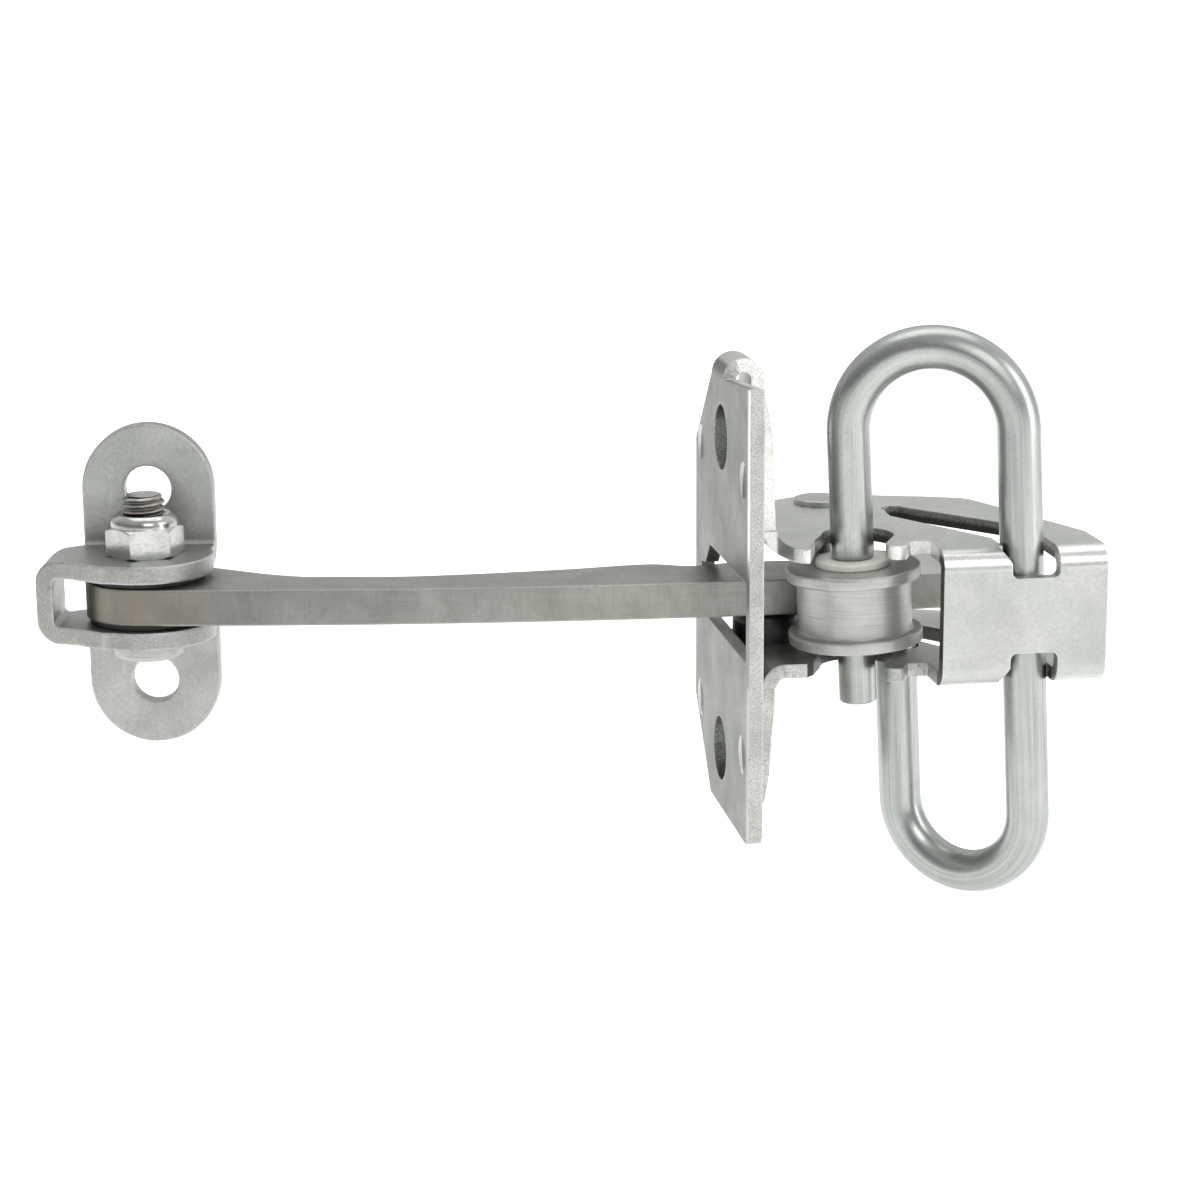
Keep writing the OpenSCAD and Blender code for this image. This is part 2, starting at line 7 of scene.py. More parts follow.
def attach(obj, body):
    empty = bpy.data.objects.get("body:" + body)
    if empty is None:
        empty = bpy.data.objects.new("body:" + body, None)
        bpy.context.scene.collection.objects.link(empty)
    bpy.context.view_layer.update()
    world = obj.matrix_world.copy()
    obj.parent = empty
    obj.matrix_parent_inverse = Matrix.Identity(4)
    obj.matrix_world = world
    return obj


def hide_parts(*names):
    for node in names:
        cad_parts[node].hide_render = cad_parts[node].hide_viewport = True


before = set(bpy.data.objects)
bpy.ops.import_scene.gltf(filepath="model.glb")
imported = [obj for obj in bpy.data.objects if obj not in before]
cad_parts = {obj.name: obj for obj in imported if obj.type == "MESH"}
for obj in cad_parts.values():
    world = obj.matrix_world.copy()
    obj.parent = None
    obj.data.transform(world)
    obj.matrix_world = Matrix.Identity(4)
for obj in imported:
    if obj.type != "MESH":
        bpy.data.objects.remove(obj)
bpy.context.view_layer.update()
MM = 0.001

BODY_OF = {
    "housing": "housing", "counter_rivet": "housing", "guide_button": "housing",
    "spring_rod_lower": "housing", "counter_roller": "counter_roller",
    "spring_rod_upper": "spring_arm", "front_roller": "front_roller",
    "front_roller_bush": "front_roller", "check_arm": "arm", "upper_pivot_bush": "arm",
    "lower_pivot_bush": "arm", "pillar_bracket": "bracket", "pivot_bolt": "bracket",
    "pivot_sleeve": "bracket", "lock_nut": "bracket", "lock_nut_insert": "bracket",
}

# Places on the part that its materials follow, in metres: the face plate's outer skin, the press marks
# in it, the web's outer skin, and the heights of the web's upper and lower bends
PLATE_SKIN_X = (0.0009, 0.0014)
PRESS_MARK_Y = (-0.021, 0.0204)
PRESS_MARK_Z = 0.0254
WEB_SKIN_Y = (-0.0246, -0.0262)
UPPER_BEND_Z = (0.0082, 0.0104)
LOWER_BEND_Z = (-0.0112, -0.0124)

# ---------------------------------------------------------------- node helpers


class Nodes:
    """Short way to build a material's node tree."""

    def __init__(self, name):
        self.mat = bpy.data.materials.new(name)
        self.mat.use_nodes = True
        self.tree = self.mat.node_tree
        self.tree.nodes.clear()
        self.out = self.tree.nodes.new("ShaderNodeOutputMaterial")
        self.bsdf = self.tree.nodes.new("ShaderNodeBsdfPrincipled")
        self.tree.links.new(self.bsdf.outputs[0], self.out.inputs[0])
        self.coord = self.tree.nodes.new("ShaderNodeTexCoord")

    def link(self, a, b):
        self.tree.links.new(a, b)

    def mapped(self, scale, source="Object", rotation=(0, 0, 0)):
        node = self.tree.nodes.new("ShaderNodeMapping")
        node.inputs["Scale"].default_value = scale
        node.inputs["Rotation"].default_value = rotation
        self.link(self.coord.outputs[source], node.inputs["Vector"])
        return node.outputs[0]

    def noise(self, vector, scale, detail=4.0, rough=0.6, distortion=0.0):
        node = self.tree.nodes.new("ShaderNodeTexNoise")
        node.inputs["Scale"].default_value = scale
        node.inputs["Detail"].default_value = detail
        node.inputs["Roughness"].default_value = rough
        node.inputs["Distortion"].default_value = distortion
        self.link(vector, node.inputs["Vector"])
        return node.outputs["Fac"]

    def voronoi(self, vector, scale, feature="F1"):
        node = self.tree.nodes.new("ShaderNodeTexVoronoi")
        node.feature = feature
        node.inputs["Scale"].default_value = scale
        self.link(vector, node.inputs["Vector"])
        return node.outputs["Distance"]

    def ramp(self, value, stops):
        node = self.tree.nodes.new("ShaderNodeValToRGB")
        ramp = node.color_ramp
        while len(ramp.elements) < len(stops):
            ramp.elements.new(0.5)
        for element, (place, colour) in zip(ramp.elements, stops):
            element.position = place
            element.color = tuple(colour) + (1,) if len(colour) == 3 else colour
        self.link(value, node.inputs[0])
        return node.outputs[0]

    def grey(self, value, stops):
        return self.ramp(value, [(p, (v, v, v)) for p, v in stops])

    def span(self, value, low, high, to_low=0.0, to_high=1.0):
        node = self.tree.nodes.new("ShaderNodeMapRange")
        for i, v in enumerate((low, high, to_low, to_high), start=1):
            node.inputs[i].default_value = v
        self.link(value, node.inputs[0])
        return node.outputs[0]

    def maths(self, kind, a, b):
        node = self.tree.nodes.new("ShaderNodeMath")
        node.operation = kind
        for socket, v in zip(node.inputs, (a, b)):
            if isinstance(v, (int, float)):
                socket.default_value = v
            else:
                self.link(v, socket)
        return node.outputs[0]

    def mix(self, factor, a, b, kind="MIX"):
        node = self.tree.nodes.new("ShaderNodeMix")
        node.data_type = "RGBA"
        node.blend_type = kind
        for socket, v in ((node.inputs[0], factor), (node.inputs[6], a), (node.inputs[7], b)):
            if isinstance(v, (int, float)):
                socket.default_value = v
            elif isinstance(v, tuple):
                socket.default_value = v + (1,)
            else:
                self.link(v, socket)
        return node.outputs[2]

    def bump(self, height, strength, distance, before=None):
        node = self.tree.nodes.new("ShaderNodeBump")
        node.inputs["Strength"].default_value = strength
        node.inputs["Distance"].default_value = distance
        self.link(height, node.inputs["Height"])
        if before is not None:
            self.link(before, node.inputs["Normal"])
        return node.outputs[0]

    def rounded_edges(self, radius):
        node = self.tree.nodes.new("ShaderNodeBevel")
        node.samples = 6
        node.inputs["Radius"].default_value = radius
        return node.outputs[0]

    def edge_mask(self, radius):
        """1 along the rounded edges, 0 on the flats."""
        geometry = self.tree.nodes.new("ShaderNodeNewGeometry")
        dot = self.tree.nodes.new("ShaderNodeVectorMath")
        dot.operation = "DOT_PRODUCT"
        self.link(self.rounded_edges(radius), dot.inputs[0])
        self.link(geometry.outputs["True Normal"], dot.inputs[1])
        return self.span(dot.outputs["Value"], 0.995, 0.90, 0.0, 1.0)

    def highlight_rim(self, colour, radius, light, nicked=0.5):
        """Painted highlight: a lighter rim along the edges, with small dark nicks in it."""
        mask = self.edge_mask(radius)
        colour = self.mix(self.maths("MULTIPLY", mask, 0.5), colour, light)
        nicks = self.span(self.noise(self.mapped((1, 1, 1)), 700, 3, 0.7), 0.58, 0.66, 0.0, nicked)
        return self.mix(self.maths("MULTIPLY", mask, nicks), colour, (0.08, 0.08, 0.07))

    def disc(self, a, b, centre, radius):
        """1 where (a, b) lies inside a circle, 0 outside it."""
        off = [self.maths("SUBTRACT", v, c) for v, c in zip((a, b), centre)]
        square = self.maths("ADD", self.maths("MULTIPLY", off[0], off[0]),
                            self.maths("MULTIPLY", off[1], off[1]))
        return self.maths("LESS_THAN", square, radius * radius)

    def part(self, source, name):
        node = self.tree.nodes.new("ShaderNodeSeparateXYZ")
        self.link(source, node.inputs[0])
        return node.outputs[name]

    def finish(self, colour, rough, normal=None, metallic=1.0, specular=0.5):
        for socket, v in (("Base Color", colour), ("Roughness", rough), ("Normal", normal)):
            if v is None:
                continue
            if isinstance(v, (int, float)):
                self.bsdf.inputs[socket].default_value = v
            elif isinstance(v, tuple):
                self.bsdf.inputs[socket].default_value = v + (1,)
            else:
                self.link(v, self.bsdf.inputs[socket])
        self.bsdf.inputs["Metallic"].default_value = metallic
        self.bsdf.inputs["Specular IOR Level"].default_value = specular
        return self.mat


# ---------------------------------------------------------------- materials


def press_marks(n, colour, x, y, z):
    """Pale crescent of light in each press mark on the plate's outer skin."""
    pale = (0.86, 0.90, 0.88)
    height = n.maths("ABSOLUTE", z, 0)
    for mark_y in PRESS_MARK_Y:
        crescent = n.maths("SUBTRACT", n.disc(y, height, (mark_y, PRESS_MARK_Z), 0.0035),
                           n.disc(y, height, (mark_y - 0.0013, PRESS_MARK_Z - 0.0004), 0.0037))
        shown = n.maths("MULTIPLY", n.maths("MAXIMUM", crescent, 0), n.span(x, *PLATE_SKIN_X, 0.5, 0.0))
        colour = n.mix(shown, colour, pale)
    return colour


def web_bend_highlight_and_burnish(n, y, z):
    """1 along the web's upper bend and less at its lower bend: the mask for a painted highlight on the bends
    and for their burnished, smoother finish.
    """
    bends = n.maths("MAXIMUM", n.span(z, *UPPER_BEND_Z, 0.0, 1.0), n.span(z, *LOWER_BEND_Z, 0.0, 0.3))
    return n.maths("MULTIPLY", n.span(y, *WEB_SKIN_Y, 0.0, 1.0), bends)


def zinc_plate(name, light, dark, tint, rough=0.42, edge=0.0, face_painted_shade=None, rim=None):
    """Zinc-plated sheet: cloudy grey with a faint green bloom, fine grain, rubs and specks.

    The face-shade argument multiplies painted shade onto the face plate's outer skin, and rim lightens the
    edges as a painted highlight.
    """
    n = Nodes(name)
    base = n.mapped((1, 1, 1))
    clouds = n.noise(base, 95, 5, 0.62, 0.4)
    fine = n.noise(base, 1500, 4, 0.75)
    grain = n.noise(base, 2400, 3, 0.7)
    bloom = n.noise(base, 60, 3, 0.5, 0.8)
    colour = n.ramp(clouds, [(0.30, dark), (0.68, light)])
    colour = n.mix(n.span(bloom, 0.50, 0.70, 0.0, 0.5), colour, tint)
    colour = n.mix(n.span(fine, 0.40, 0.66, 0.0, 0.42), colour, tuple(c * 0.70 for c in dark))
    colour = n.mix(n.span(grain, 0.54, 0.70, 0.0, 0.25), colour, tuple(min(1, c * 1.3) for c in light))
    rubs = n.mapped((1, 6, 0.35), rotation=(0.3, 0.2, 0.5))
    rub_mask = n.span(n.noise(rubs, 420, 2, 0.5), 0.68, 0.78, 0.0, 0.4)
    colour = n.mix(rub_mask, colour, tuple(min(1, c * 1.25) for c in light))
    speck = n.span(n.voronoi(base, 620), 0.05, 0.09, 0.6, 0.0)
    spread = n.span(n.noise(base, 150, 2, 0.5), 0.55, 0.66, 0.0, 1.0)
    colour = n.mix(n.maths("MULTIPLY", speck, spread), colour, tuple(c * 0.30 for c in dark))
    roughness = n.maths("ADD", n.span(clouds, 0.3, 0.7, rough + 0.05, rough - 0.05),
                        n.span(grain, 0.3, 0.7, -0.05, 0.06))
    if face_painted_shade is not None:
        x, y, z = (n.part(n.coord.outputs["Object"], axis) for axis in "XYZ")
        # painted shade on the face plate's outer skin
        colour = n.mix(n.span(x, *PLATE_SKIN_X, 1.0, 0.0), colour, face_painted_shade, "MULTIPLY")
        colour = press_marks(n, colour, x, y, z)
        # painted shade on the web's outer skin
        colour = n.mix(n.span(y, *WEB_SKIN_Y, 0.0, 0.25), colour, (0.30, 0.31, 0.29))
        shine_and_burnish = web_bend_highlight_and_burnish(n, y, z)
        # painted highlight along the web's bends; the roughness below drops there for the burnished bends
        colour = n.mix(n.maths("MULTIPLY", shine_and_burnish, 0.75), colour, (0.86, 0.87, 0.85))
        roughness = n.maths("SUBTRACT", roughness, n.maths("MULTIPLY", shine_and_burnish, 0.14))
    # painted highlight: a lighter rim along the edges
    if rim is not None:
        colour = n.highlight_rim(colour, edge, rim)
    before = n.rounded_edges(edge) if edge else None
    normal = n.bump(grain, 0.12, 0.00006, before)
    normal = n.bump(n.noise(base, 240, 3, 0.6), 0.20, 0.00012, normal)
    return n.finish(colour, roughness, normal)


def sheared_edge(name, light, dark, edge=0.0, shade=None, rim=None):
    """Sheared edge of the sheet: pale and finely crumbled. shade gives the heights in Z below which painted
    shade darkens the edge.
    """
    n = Nodes(name)
    base = n.mapped((1, 1, 1))
    crumbs = n.voronoi(base, 3600)
    fine = n.noise(base, 3200, 4, 0.75)
    patches = n.noise(base, 170, 3, 0.6)
    colour = n.ramp(fine, [(0.36, dark), (0.58, light)])
    colour = n.mix(n.span(patches, 0.42, 0.66, 0.0, 0.4), colour, tuple(c * 0.86 for c in dark))
    colour = n.mix(n.span(crumbs, 0.12, 0.28, 0.5, 0.0), colour, tuple(c * 0.4 for c in dark))
    if shade:
        z = n.part(n.coord.outputs["Object"], "Z")
        ragged = n.maths("ADD", z, n.span(fine, 0.3, 0.7, -0.0004, 0.0004))
        # painted shade over the edge below the shade heights
        colour = n.mix(n.span(ragged, shade[0], shade[1], 0.85, 0.0), colour, (0.035, 0.036, 0.030))
    # painted highlight: a lighter rim along the edges
    if rim is not None:
        colour = n.highlight_rim(colour, edge, rim)
    before = n.rounded_edges(edge) if edge else None
    normal = n.bump(fine, 0.5, 0.00014, before)
    normal = n.bump(crumbs, 0.3, 0.00010, normal)
    return n.finish(colour, n.span(fine, 0.3, 0.7, 0.46, 0.34), normal)


def coined_arm(name, side=False):
    """The arm: duller grey, tan stains at the eye and the tail, and fine cross marks.

    side makes the variant for its upright edges, with painted shade deepening towards the eye.
    """
    n = Nodes(name)
    base = n.mapped((1, 1, 1))
    place = n.coord.outputs["Object"]
    clouds = n.noise(base, 110, 5, 0.65, 0.5)
    fine = n.noise(base, 1100, 4, 0.7)
    cross = n.noise(n.mapped((3.2, 0.5, 0.5)), 480, 3, 0.6)
    along = n.noise(n.mapped((0.12, 1, 1.6)), 620, 3, 0.6)
    colour = n.ramp(clouds, [(0.28, (0.255, 0.258, 0.232)), (0.70, (0.345, 0.350, 0.318))])
    colour = n.mix(n.span(cross, 0.50, 0.72, 0.0, 0.28), colour, (0.19, 0.19, 0.17))
    colour = n.mix(n.span(along, 0.55, 0.75, 0.0, 0.3), colour, (0.43, 0.43, 0.40))
    colour = n.mix(n.span(fine, 0.50, 0.80, 0.0, 0.30), colour, (0.14, 0.14, 0.125))
    x = n.part(place, "X")
    z = n.part(place, "Z")
    wander = n.span(n.noise(base, 130, 3, 0.6), 0.3, 0.7, -0.006, 0.006)
    near_eye = n.span(n.maths("ADD", x, wander), -0.114, -0.092, 0.55, 0.0)
    tail = n.span(n.maths("ADD", x, wander), 0.034, 0.058, 0.0, 1.0)
    low = n.span(z, -0.0042, 0.0022, 1.0, 0.15)
    stain = n.maths("MULTIPLY", n.maths("MAXIMUM", near_eye, n.maths("MULTIPLY", tail, low)),
                    n.span(n.noise(base, 300, 4, 0.65), 0.36, 0.62, 0.15, 0.85))
    if side:
        # painted shade on the upright edges, deepest at the eye
        shade = n.grey(n.span(x, -0.110, 0.010), [(0.0, 0.60), (1.0, 1.0)])
        colour = n.mix(1.0, colour, shade, "MULTIPLY")
    pale = n.span(x, 0.030, 0.038, 0.0, 0.85)
    colour = n.mix(pale, colour, (0.74, 0.74, 0.70))
    colour = n.mix(stain, colour, (0.27, 0.215, 0.15))
    # painted highlight: a lighter rim along the arm's edges
    colour = n.highlight_rim(colour, ARM_ROUND, (0.66, 0.66, 0.61), 0.35)
    rough = n.maths("ADD", n.span(clouds, 0.3, 0.7, 0.46, 0.38), n.span(stain, 0, 1, 0.0, 0.12))
    normal = n.bump(cross, 0.22, 0.00010, n.rounded_edges(ARM_ROUND))
    normal = n.bump(fine, 0.14, 0.00006, normal)
    return n.finish(colour, rough, normal, metallic=0.95)


def drawn_rod(name):
    """Bent spring rod: long drawing streaks along the wire, which its UV map follows."""
    n = Nodes(name)
    streaks = n.noise(n.mapped((7, 0.35, 1), "UV"), 2.6, 5, 0.62, 0.2)
    thin = n.noise(n.mapped((40, 0.7, 1), "UV"), 2.0, 4, 0.6)
    base = n.mapped((1, 1, 1))
    clouds = n.noise(base, 120, 4, 0.6)
    fine = n.noise(base, 1500, 3, 0.7)
    colour = n.ramp(streaks, [(0.34, (0.30, 0.315, 0.30)), (0.64, (0.42, 0.44, 0.422))])
    colour = n.mix(n.span(thin, 0.55, 0.68, 0.0, 0.4), colour, (0.19, 0.20, 0.19))
    colour = n.mix(n.span(clouds, 0.5, 0.72, 0.0, 0.25), colour, (0.52, 0.54, 0.525))
    colour = n.mix(n.span(fine, 0.52, 0.70, 0.0, 0.25), colour, (0.26, 0.27, 0.255))
    nicks = n.span(n.voronoi(n.mapped((6, 1.2, 1), "UV"), 9), 0.03, 0.07, 0.6, 0.0)
    colour = n.mix(nicks, colour, (0.12, 0.12, 0.11))
    rough = n.maths("ADD", n.span(streaks, 0.3, 0.7, 0.36, 0.28), n.span(fine, 0.3, 0.7, -0.03, 0.04))
    normal = n.bump(thin, 0.20, 0.00008)
    normal = n.bump(fine, 0.10, 0.00004, normal)
    return n.finish(colour, rough, normal)


def turned(name, light, dark, axis_scale, rough=0.36, lines=0.35, edge=0.0, metallic=1.0):
    """Turned steel: fine rings round the axis, broken up by wear."""
    n = Nodes(name)
    rings = n.noise(n.mapped(axis_scale), 900, 4, 0.65)
    base = n.mapped((1, 1, 1))
    clouds = n.noise(base, 160, 4, 0.6, 0.3)
    fine = n.noise(base, 1300, 3, 0.7)
    colour = n.ramp(clouds, [(0.3, dark), (0.68, light)])
    colour = n.mix(n.span(rings, 0.48, 0.68, 0.0, lines), colour, tuple(c * 0.55 for c in dark))
    colour = n.mix(n.span(fine, 0.55, 0.8, 0.0, 0.25), colour, tuple(min(1, c * 1.2) for c in light))
    roughness = n.maths("ADD", n.span(rings, 0.3, 0.7, rough - 0.04, rough + 0.06),
                        n.span(fine, 0.3, 0.7, -0.03, 0.03))
    normal = n.bump(rings, 0.22, 0.00008, n.rounded_edges(edge) if edge else None)
    normal = n.bump(fine, 0.12, 0.00005, normal)
    return n.finish(colour, roughness, normal, metallic)


def moulded(name, light, dark, rough, bump=0.12, specular=0.4):
    """Moulded plastic with a fine matt grain."""
    n = Nodes(name)
    base = n.mapped((1, 1, 1))
    clouds = n.noise(base, 190, 4, 0.6)
    fine = n.noise(base, 1700, 3, 0.7)
    colour = n.ramp(clouds, [(0.3, dark), (0.7, light)])
    roughness = n.span(fine, 0.3, 0.7, rough - 0.06, rough + 0.06)
    normal = n.bump(fine, bump, 0.00005)
    return n.finish(colour, roughness, normal, metallic=0.0, specular=specular)


# Radii of the rounded edges, and the colour of the painted highlight along them
SHEET_ROUND = 0.0005
BRACKET_ROUND = 0.0007
ARM_ROUND = 0.0006
NUT_ROUND = 0.0004
RIM_HIGHLIGHT = (0.72, 0.74, 0.71)
ZINC = zinc_plate("zinc_sheet", (0.60, 0.615, 0.58), (0.47, 0.485, 0.45), (0.44, 0.50, 0.465),
                  edge=SHEET_ROUND, face_painted_shade=(0.34, 0.34, 0.315), rim=RIM_HIGHLIGHT)
# The sheared edges are lit and shaded copies of one material: ZINC_EDGE, near white, is a painted highlight
# on edges that face the light; PLATE_EDGE, HOLE_EDGE and DARK_EDGE are darker copies carrying painted shade,
# and DARK_EDGE adds painted shade below 10.9 mm in Z
ZINC_EDGE = sheared_edge("zinc_sheared_edge", (0.94, 0.95, 0.91), (0.62, 0.63, 0.59), SHEET_ROUND)
PLATE_EDGE = sheared_edge("plate_edge", (0.56, 0.57, 0.54), (0.28, 0.29, 0.265), SHEET_ROUND, rim=RIM_HIGHLIGHT)
HOLE_EDGE = sheared_edge("hole_edge", (0.30, 0.33, 0.29), (0.08, 0.095, 0.08), SHEET_ROUND)
BRACKET_ZINC = zinc_plate("bracket_zinc", (0.43, 0.44, 0.415), (0.335, 0.345, 0.32),
                          (0.37, 0.405, 0.38), rough=0.44, edge=BRACKET_ROUND, rim=RIM_HIGHLIGHT)
BRACKET_EDGE = sheared_edge("bracket_edge", (0.40, 0.41, 0.385), (0.26, 0.27, 0.245), BRACKET_ROUND,
                            rim=RIM_HIGHLIGHT)
DARK_EDGE = sheared_edge("slot_edge", (0.50, 0.52, 0.48), (0.26, 0.27, 0.24), SHEET_ROUND,
                         shade=(0.0109, 0.0115))
ARM = coined_arm("arm_steel")
ARM_SIDE = coined_arm("arm_side", side=True)
ROD = drawn_rod("spring_rod")
ROLLER = turned("roller_steel", (0.46, 0.47, 0.44), (0.36, 0.37, 0.34), (0.10, 0.10, 6), lines=0.45,
                metallic=0.6)
BRIGHT = turned("bright_zinc", (0.52, 0.53, 0.51), (0.38, 0.39, 0.37), (1, 1, 2), rough=0.20,
                edge=NUT_ROUND)
BOLT = turned("bolt_steel", (0.44, 0.42, 0.37), (0.27, 0.255, 0.22), (1, 1, 3), rough=0.34)
DARK_STEEL = turned("dark_steel", (0.20, 0.20, 0.19), (0.13, 0.13, 0.12), (0.2, 0.2, 4))
RIVET = zinc_plate("rivet_zinc", (0.50, 0.51, 0.48), (0.38, 0.39, 0.37), (0.42, 0.46, 0.43))
BLACK = moulded("black_plastic", (0.018, 0.018, 0.019), (0.009, 0.009, 0.009), 0.46)
WHITE = moulded("white_plastic", (0.80, 0.79, 0.74), (0.70, 0.69, 0.63), 0.55)
SATIN_BLACK = moulded("satin_black", (0.010, 0.010, 0.010), (0.005, 0.005, 0.005), 0.38, 0.06, 0.5)

# ---------------------------------------------------------------- mesh helpers


def link(name, mesh, *materials):
    obj = bpy.data.objects.new(name, mesh)
    bpy.context.scene.collection.objects.link(obj)
    for m in materials:
        mesh.materials.append(m)
    return obj


def smooth(mesh, degrees):
    """Smooth shading with hard lines where faces meet at more than this angle."""
    bm = bmesh.new()
    bm.from_mesh(mesh)
    bm.normal_update()
    limit = math.radians(degrees)
    for f in bm.faces:
        f.smooth = True
    for e in bm.edges:
        e.smooth = len(e.link_faces) != 2 or e.calc_face_angle(0) < limit
    bm.to_mesh(mesh)
    bm.free()


def finished(node, *materials, slot_of=None):
    """Copy of a CAD node with its materials. slot_of(centre, normal) picks a face's material."""
    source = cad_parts[node]
    mesh = source.data.copy()
    mesh.transform(source.matrix_world)
    mesh.materials.clear()
    bm = bmesh.new()
    bm.from_mesh(mesh)
    bmesh.ops.remove_doubles(bm, verts=bm.verts, dist=2e-6)
    bm.normal_update()
    if slot_of:
        for f in bm.faces:
            f.material_index = slot_of(f.calc_center_median(), f.normal)
    bm.to_mesh(mesh)
    bm.free()
    obj = link(node + "_finish", mesh, *materials)
    smooth(mesh, 32)
    modifier = obj.modifiers.new("weighted", "WEIGHTED_NORMAL")
    modifier.keep_sharp = True
    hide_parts(node)
    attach(obj, BODY_OF[node])
    return obj


def rounded(points, radius, steps=4):
    """Profile points (r, z) with each inner corner replaced by a short arc."""
    out = [points[0]]
    for a, b, c in zip(points, points[1:], points[2:]):
        a, b, c = Vector(a), Vector(b), Vector(c)
        u, v = (a - b), (c - b)
        cut = min(radius, u.length * 0.45, v.length * 0.45)
        p, q = b + u.normalized() * cut, b + v.normalized() * cut
        for i in range(steps + 1):
            t = i / steps
            out.append(tuple(p * (1 - t) ** 2 + b * 2 * t * (1 - t) + q * t ** 2))
    out.append(points[-1])
    return out


def lathe(name, profile, matrix, *materials, segments=128, closed=False):
    """Solid of revolution about Z from a profile of (r, z) in millimetres."""
    bm = bmesh.new()
    rings = []
    for r, z in profile:
        if r < 1e-6:
            rings.append([bm.verts.new((0, 0, z * MM))])
        else:
            rings.append([bm.verts.new((r * MM * math.cos(2 * math.pi * i / segments),
                                        r * MM * math.sin(2 * math.pi * i / segments), z * MM))
                          for i in range(segments)])
    pairs = list(zip(rings, rings[1:]))
    if closed:
        pairs.append((rings[-1], rings[0]))
    for a, b in pairs:
        for i in range(segments):
            j = (i + 1) % segments
            corners = [a[i % len(a)], a[j % len(a)], b[j % len(b)], b[i % len(b)]]
            corners = list(dict.fromkeys(corners))
            if len(corners) > 2:
                bm.faces.new(corners)
    bmesh.ops.recalc_face_normals(bm, faces=bm.faces)
    mesh = bpy.data.meshes.new(name)
    bm.to_mesh(mesh)
    bm.free()
    mesh.transform(matrix)
    smooth(mesh, 40)
    return link(name, mesh, *materials)


def stand_in(obj, node):
    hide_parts(node)
    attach(obj, BODY_OF[node])
    return obj


def sweep(name, points, radii, material, segments=48, cap_start=True, cap_end=True):
    """Tube along points in metres, each with its radius. Its UV map runs round and along it."""
    bm = bmesh.new()
    uv = bm.loops.layers.uv.new("along")
    count = len(points)
    tangents = [(points[min(i + 1, count - 1)] - points[max(i - 1, 0)]).normalized()
                for i in range(count)]
    side = tangents[0].orthogonal().normalized()
    rings, lengths, length = [], [], 0.0
    for i, (p, t) in enumerate(zip(points, tangents)):
        if i:
            length += (p - points[i - 1]).length
            side = (side - t * side.dot(t)).normalized()
        other = t.cross(side)
        rings.append([bm.verts.new(p + (side * math.cos(2 * math.pi * k / segments)
                                        + other * math.sin(2 * math.pi * k / segments)) * radii[i])
                      for k in range(segments)])
        lengths.append(length)
    for i in range(count - 1):
        for k in range(segments):
            j = (k + 1) % segments
            f = bm.faces.new([rings[i][k], rings[i][j], rings[i + 1][j], rings[i + 1][k]])
            spots = [(k, i), (k + 1, i), (k + 1, i + 1), (k, i + 1)]
            for loop, (a, b) in zip(f.loops, spots):
                loop[uv].uv = (a / segments, lengths[b] / 0.05)
    for ring, wanted in ((rings[0][::-1], cap_start), (rings[-1], cap_end)):
        if wanted:
            f = bm.faces.new(ring)
            for loop in f.loops:
                loop[uv].uv = (loop.vert.co.x * 40, loop.vert.co.y * 40)
    mesh = bpy.data.meshes.new(name)
    bm.to_mesh(mesh)
    bm.free()
    smooth(mesh, 40)
    return link(name, mesh, material)


# ---------------------------------------------------------------- the rod's frame

LEAN = math.radians(2.86)
TORSION = Vector((52.6, -20.8, 0)) * MM
ROLLER_LEG = Vector((-29.1, 11.0, 0))
ANCHOR_LEG = Vector((-19.8, 18.3, 0))
ROLLER_Z = 1.2
ROD_R = 4.0
JOURNAL_R = 3.5
UPPER_Z, LOWER_Z = 33.2, 39.3
SHOULDER_Z = ROLLER_Z + 7.2 + 1.4
rod_matrix = Matrix.Translation(TORSION) @ Matrix.Rotation(-LEAN, 4, "Y")
roller_matrix = rod_matrix @ Matrix.Translation((ROLLER_LEG + Vector((0, 0, ROLLER_Z))) * MM)


def bent_leg(leg, loop_z, sign, legs):
    """Centre line in the rod's frame: up the torsion leg, round the half turn and down the other leg."""
    points = [Vector((0, 0, sign * loop_z * i / 12)) for i in range(12)]
    half = leg / 2
    radius = half.length
    out = half.normalized()
    for i in range(41):
        a = math.pi * i / 40
        points.append(half - out * radius * math.cos(a)
                      + Vector((0, 0, sign * (loop_z + radius * math.sin(a)))))
    points += [leg + Vector((0, 0, sign * z)) for z in legs]
    return points


def rod_piece(name, node, leg, loop_z, sign, legs, radii_at_end):
    line = bent_leg(leg, loop_z, sign, legs)
    radii = [ROD_R] * (len(line) - len(radii_at_end)) + radii_at_end
    points = [rod_matrix @ (p * MM) for p in line]
    obj = sweep(name, points, [r * MM for r in radii], ROD, cap_start=False)
    return stand_in(obj, node)


legs = [UPPER_Z - 6, UPPER_Z - 14, SHOULDER_Z + 0.9, SHOULDER_Z + 0.45, SHOULDER_Z + 0.12,
        SHOULDER_Z, SHOULDER_Z - 0.02, 0, -10, -17.3, -17.62, -17.8]
rod_piece("spring_rod_upper_finish", "spring_rod_upper", ROLLER_LEG, UPPER_Z, 1, legs,
          [ROD_R, 3.93, 3.75, 3.6, JOURNAL_R, JOURNAL_R, JOURNAL_R, JOURNAL_R, 3.38, 3.1])
legs = [LOWER_Z - 8, 16, 8.1, 7.75, 7.5]
rod_piece("spring_rod_lower_finish", "spring_rod_lower", ANCHOR_LEG, LOWER_Z, -1, legs,
          [ROD_R, 3.85, 3.5])

# ---------------------------------------------------------------- rollers and turned parts

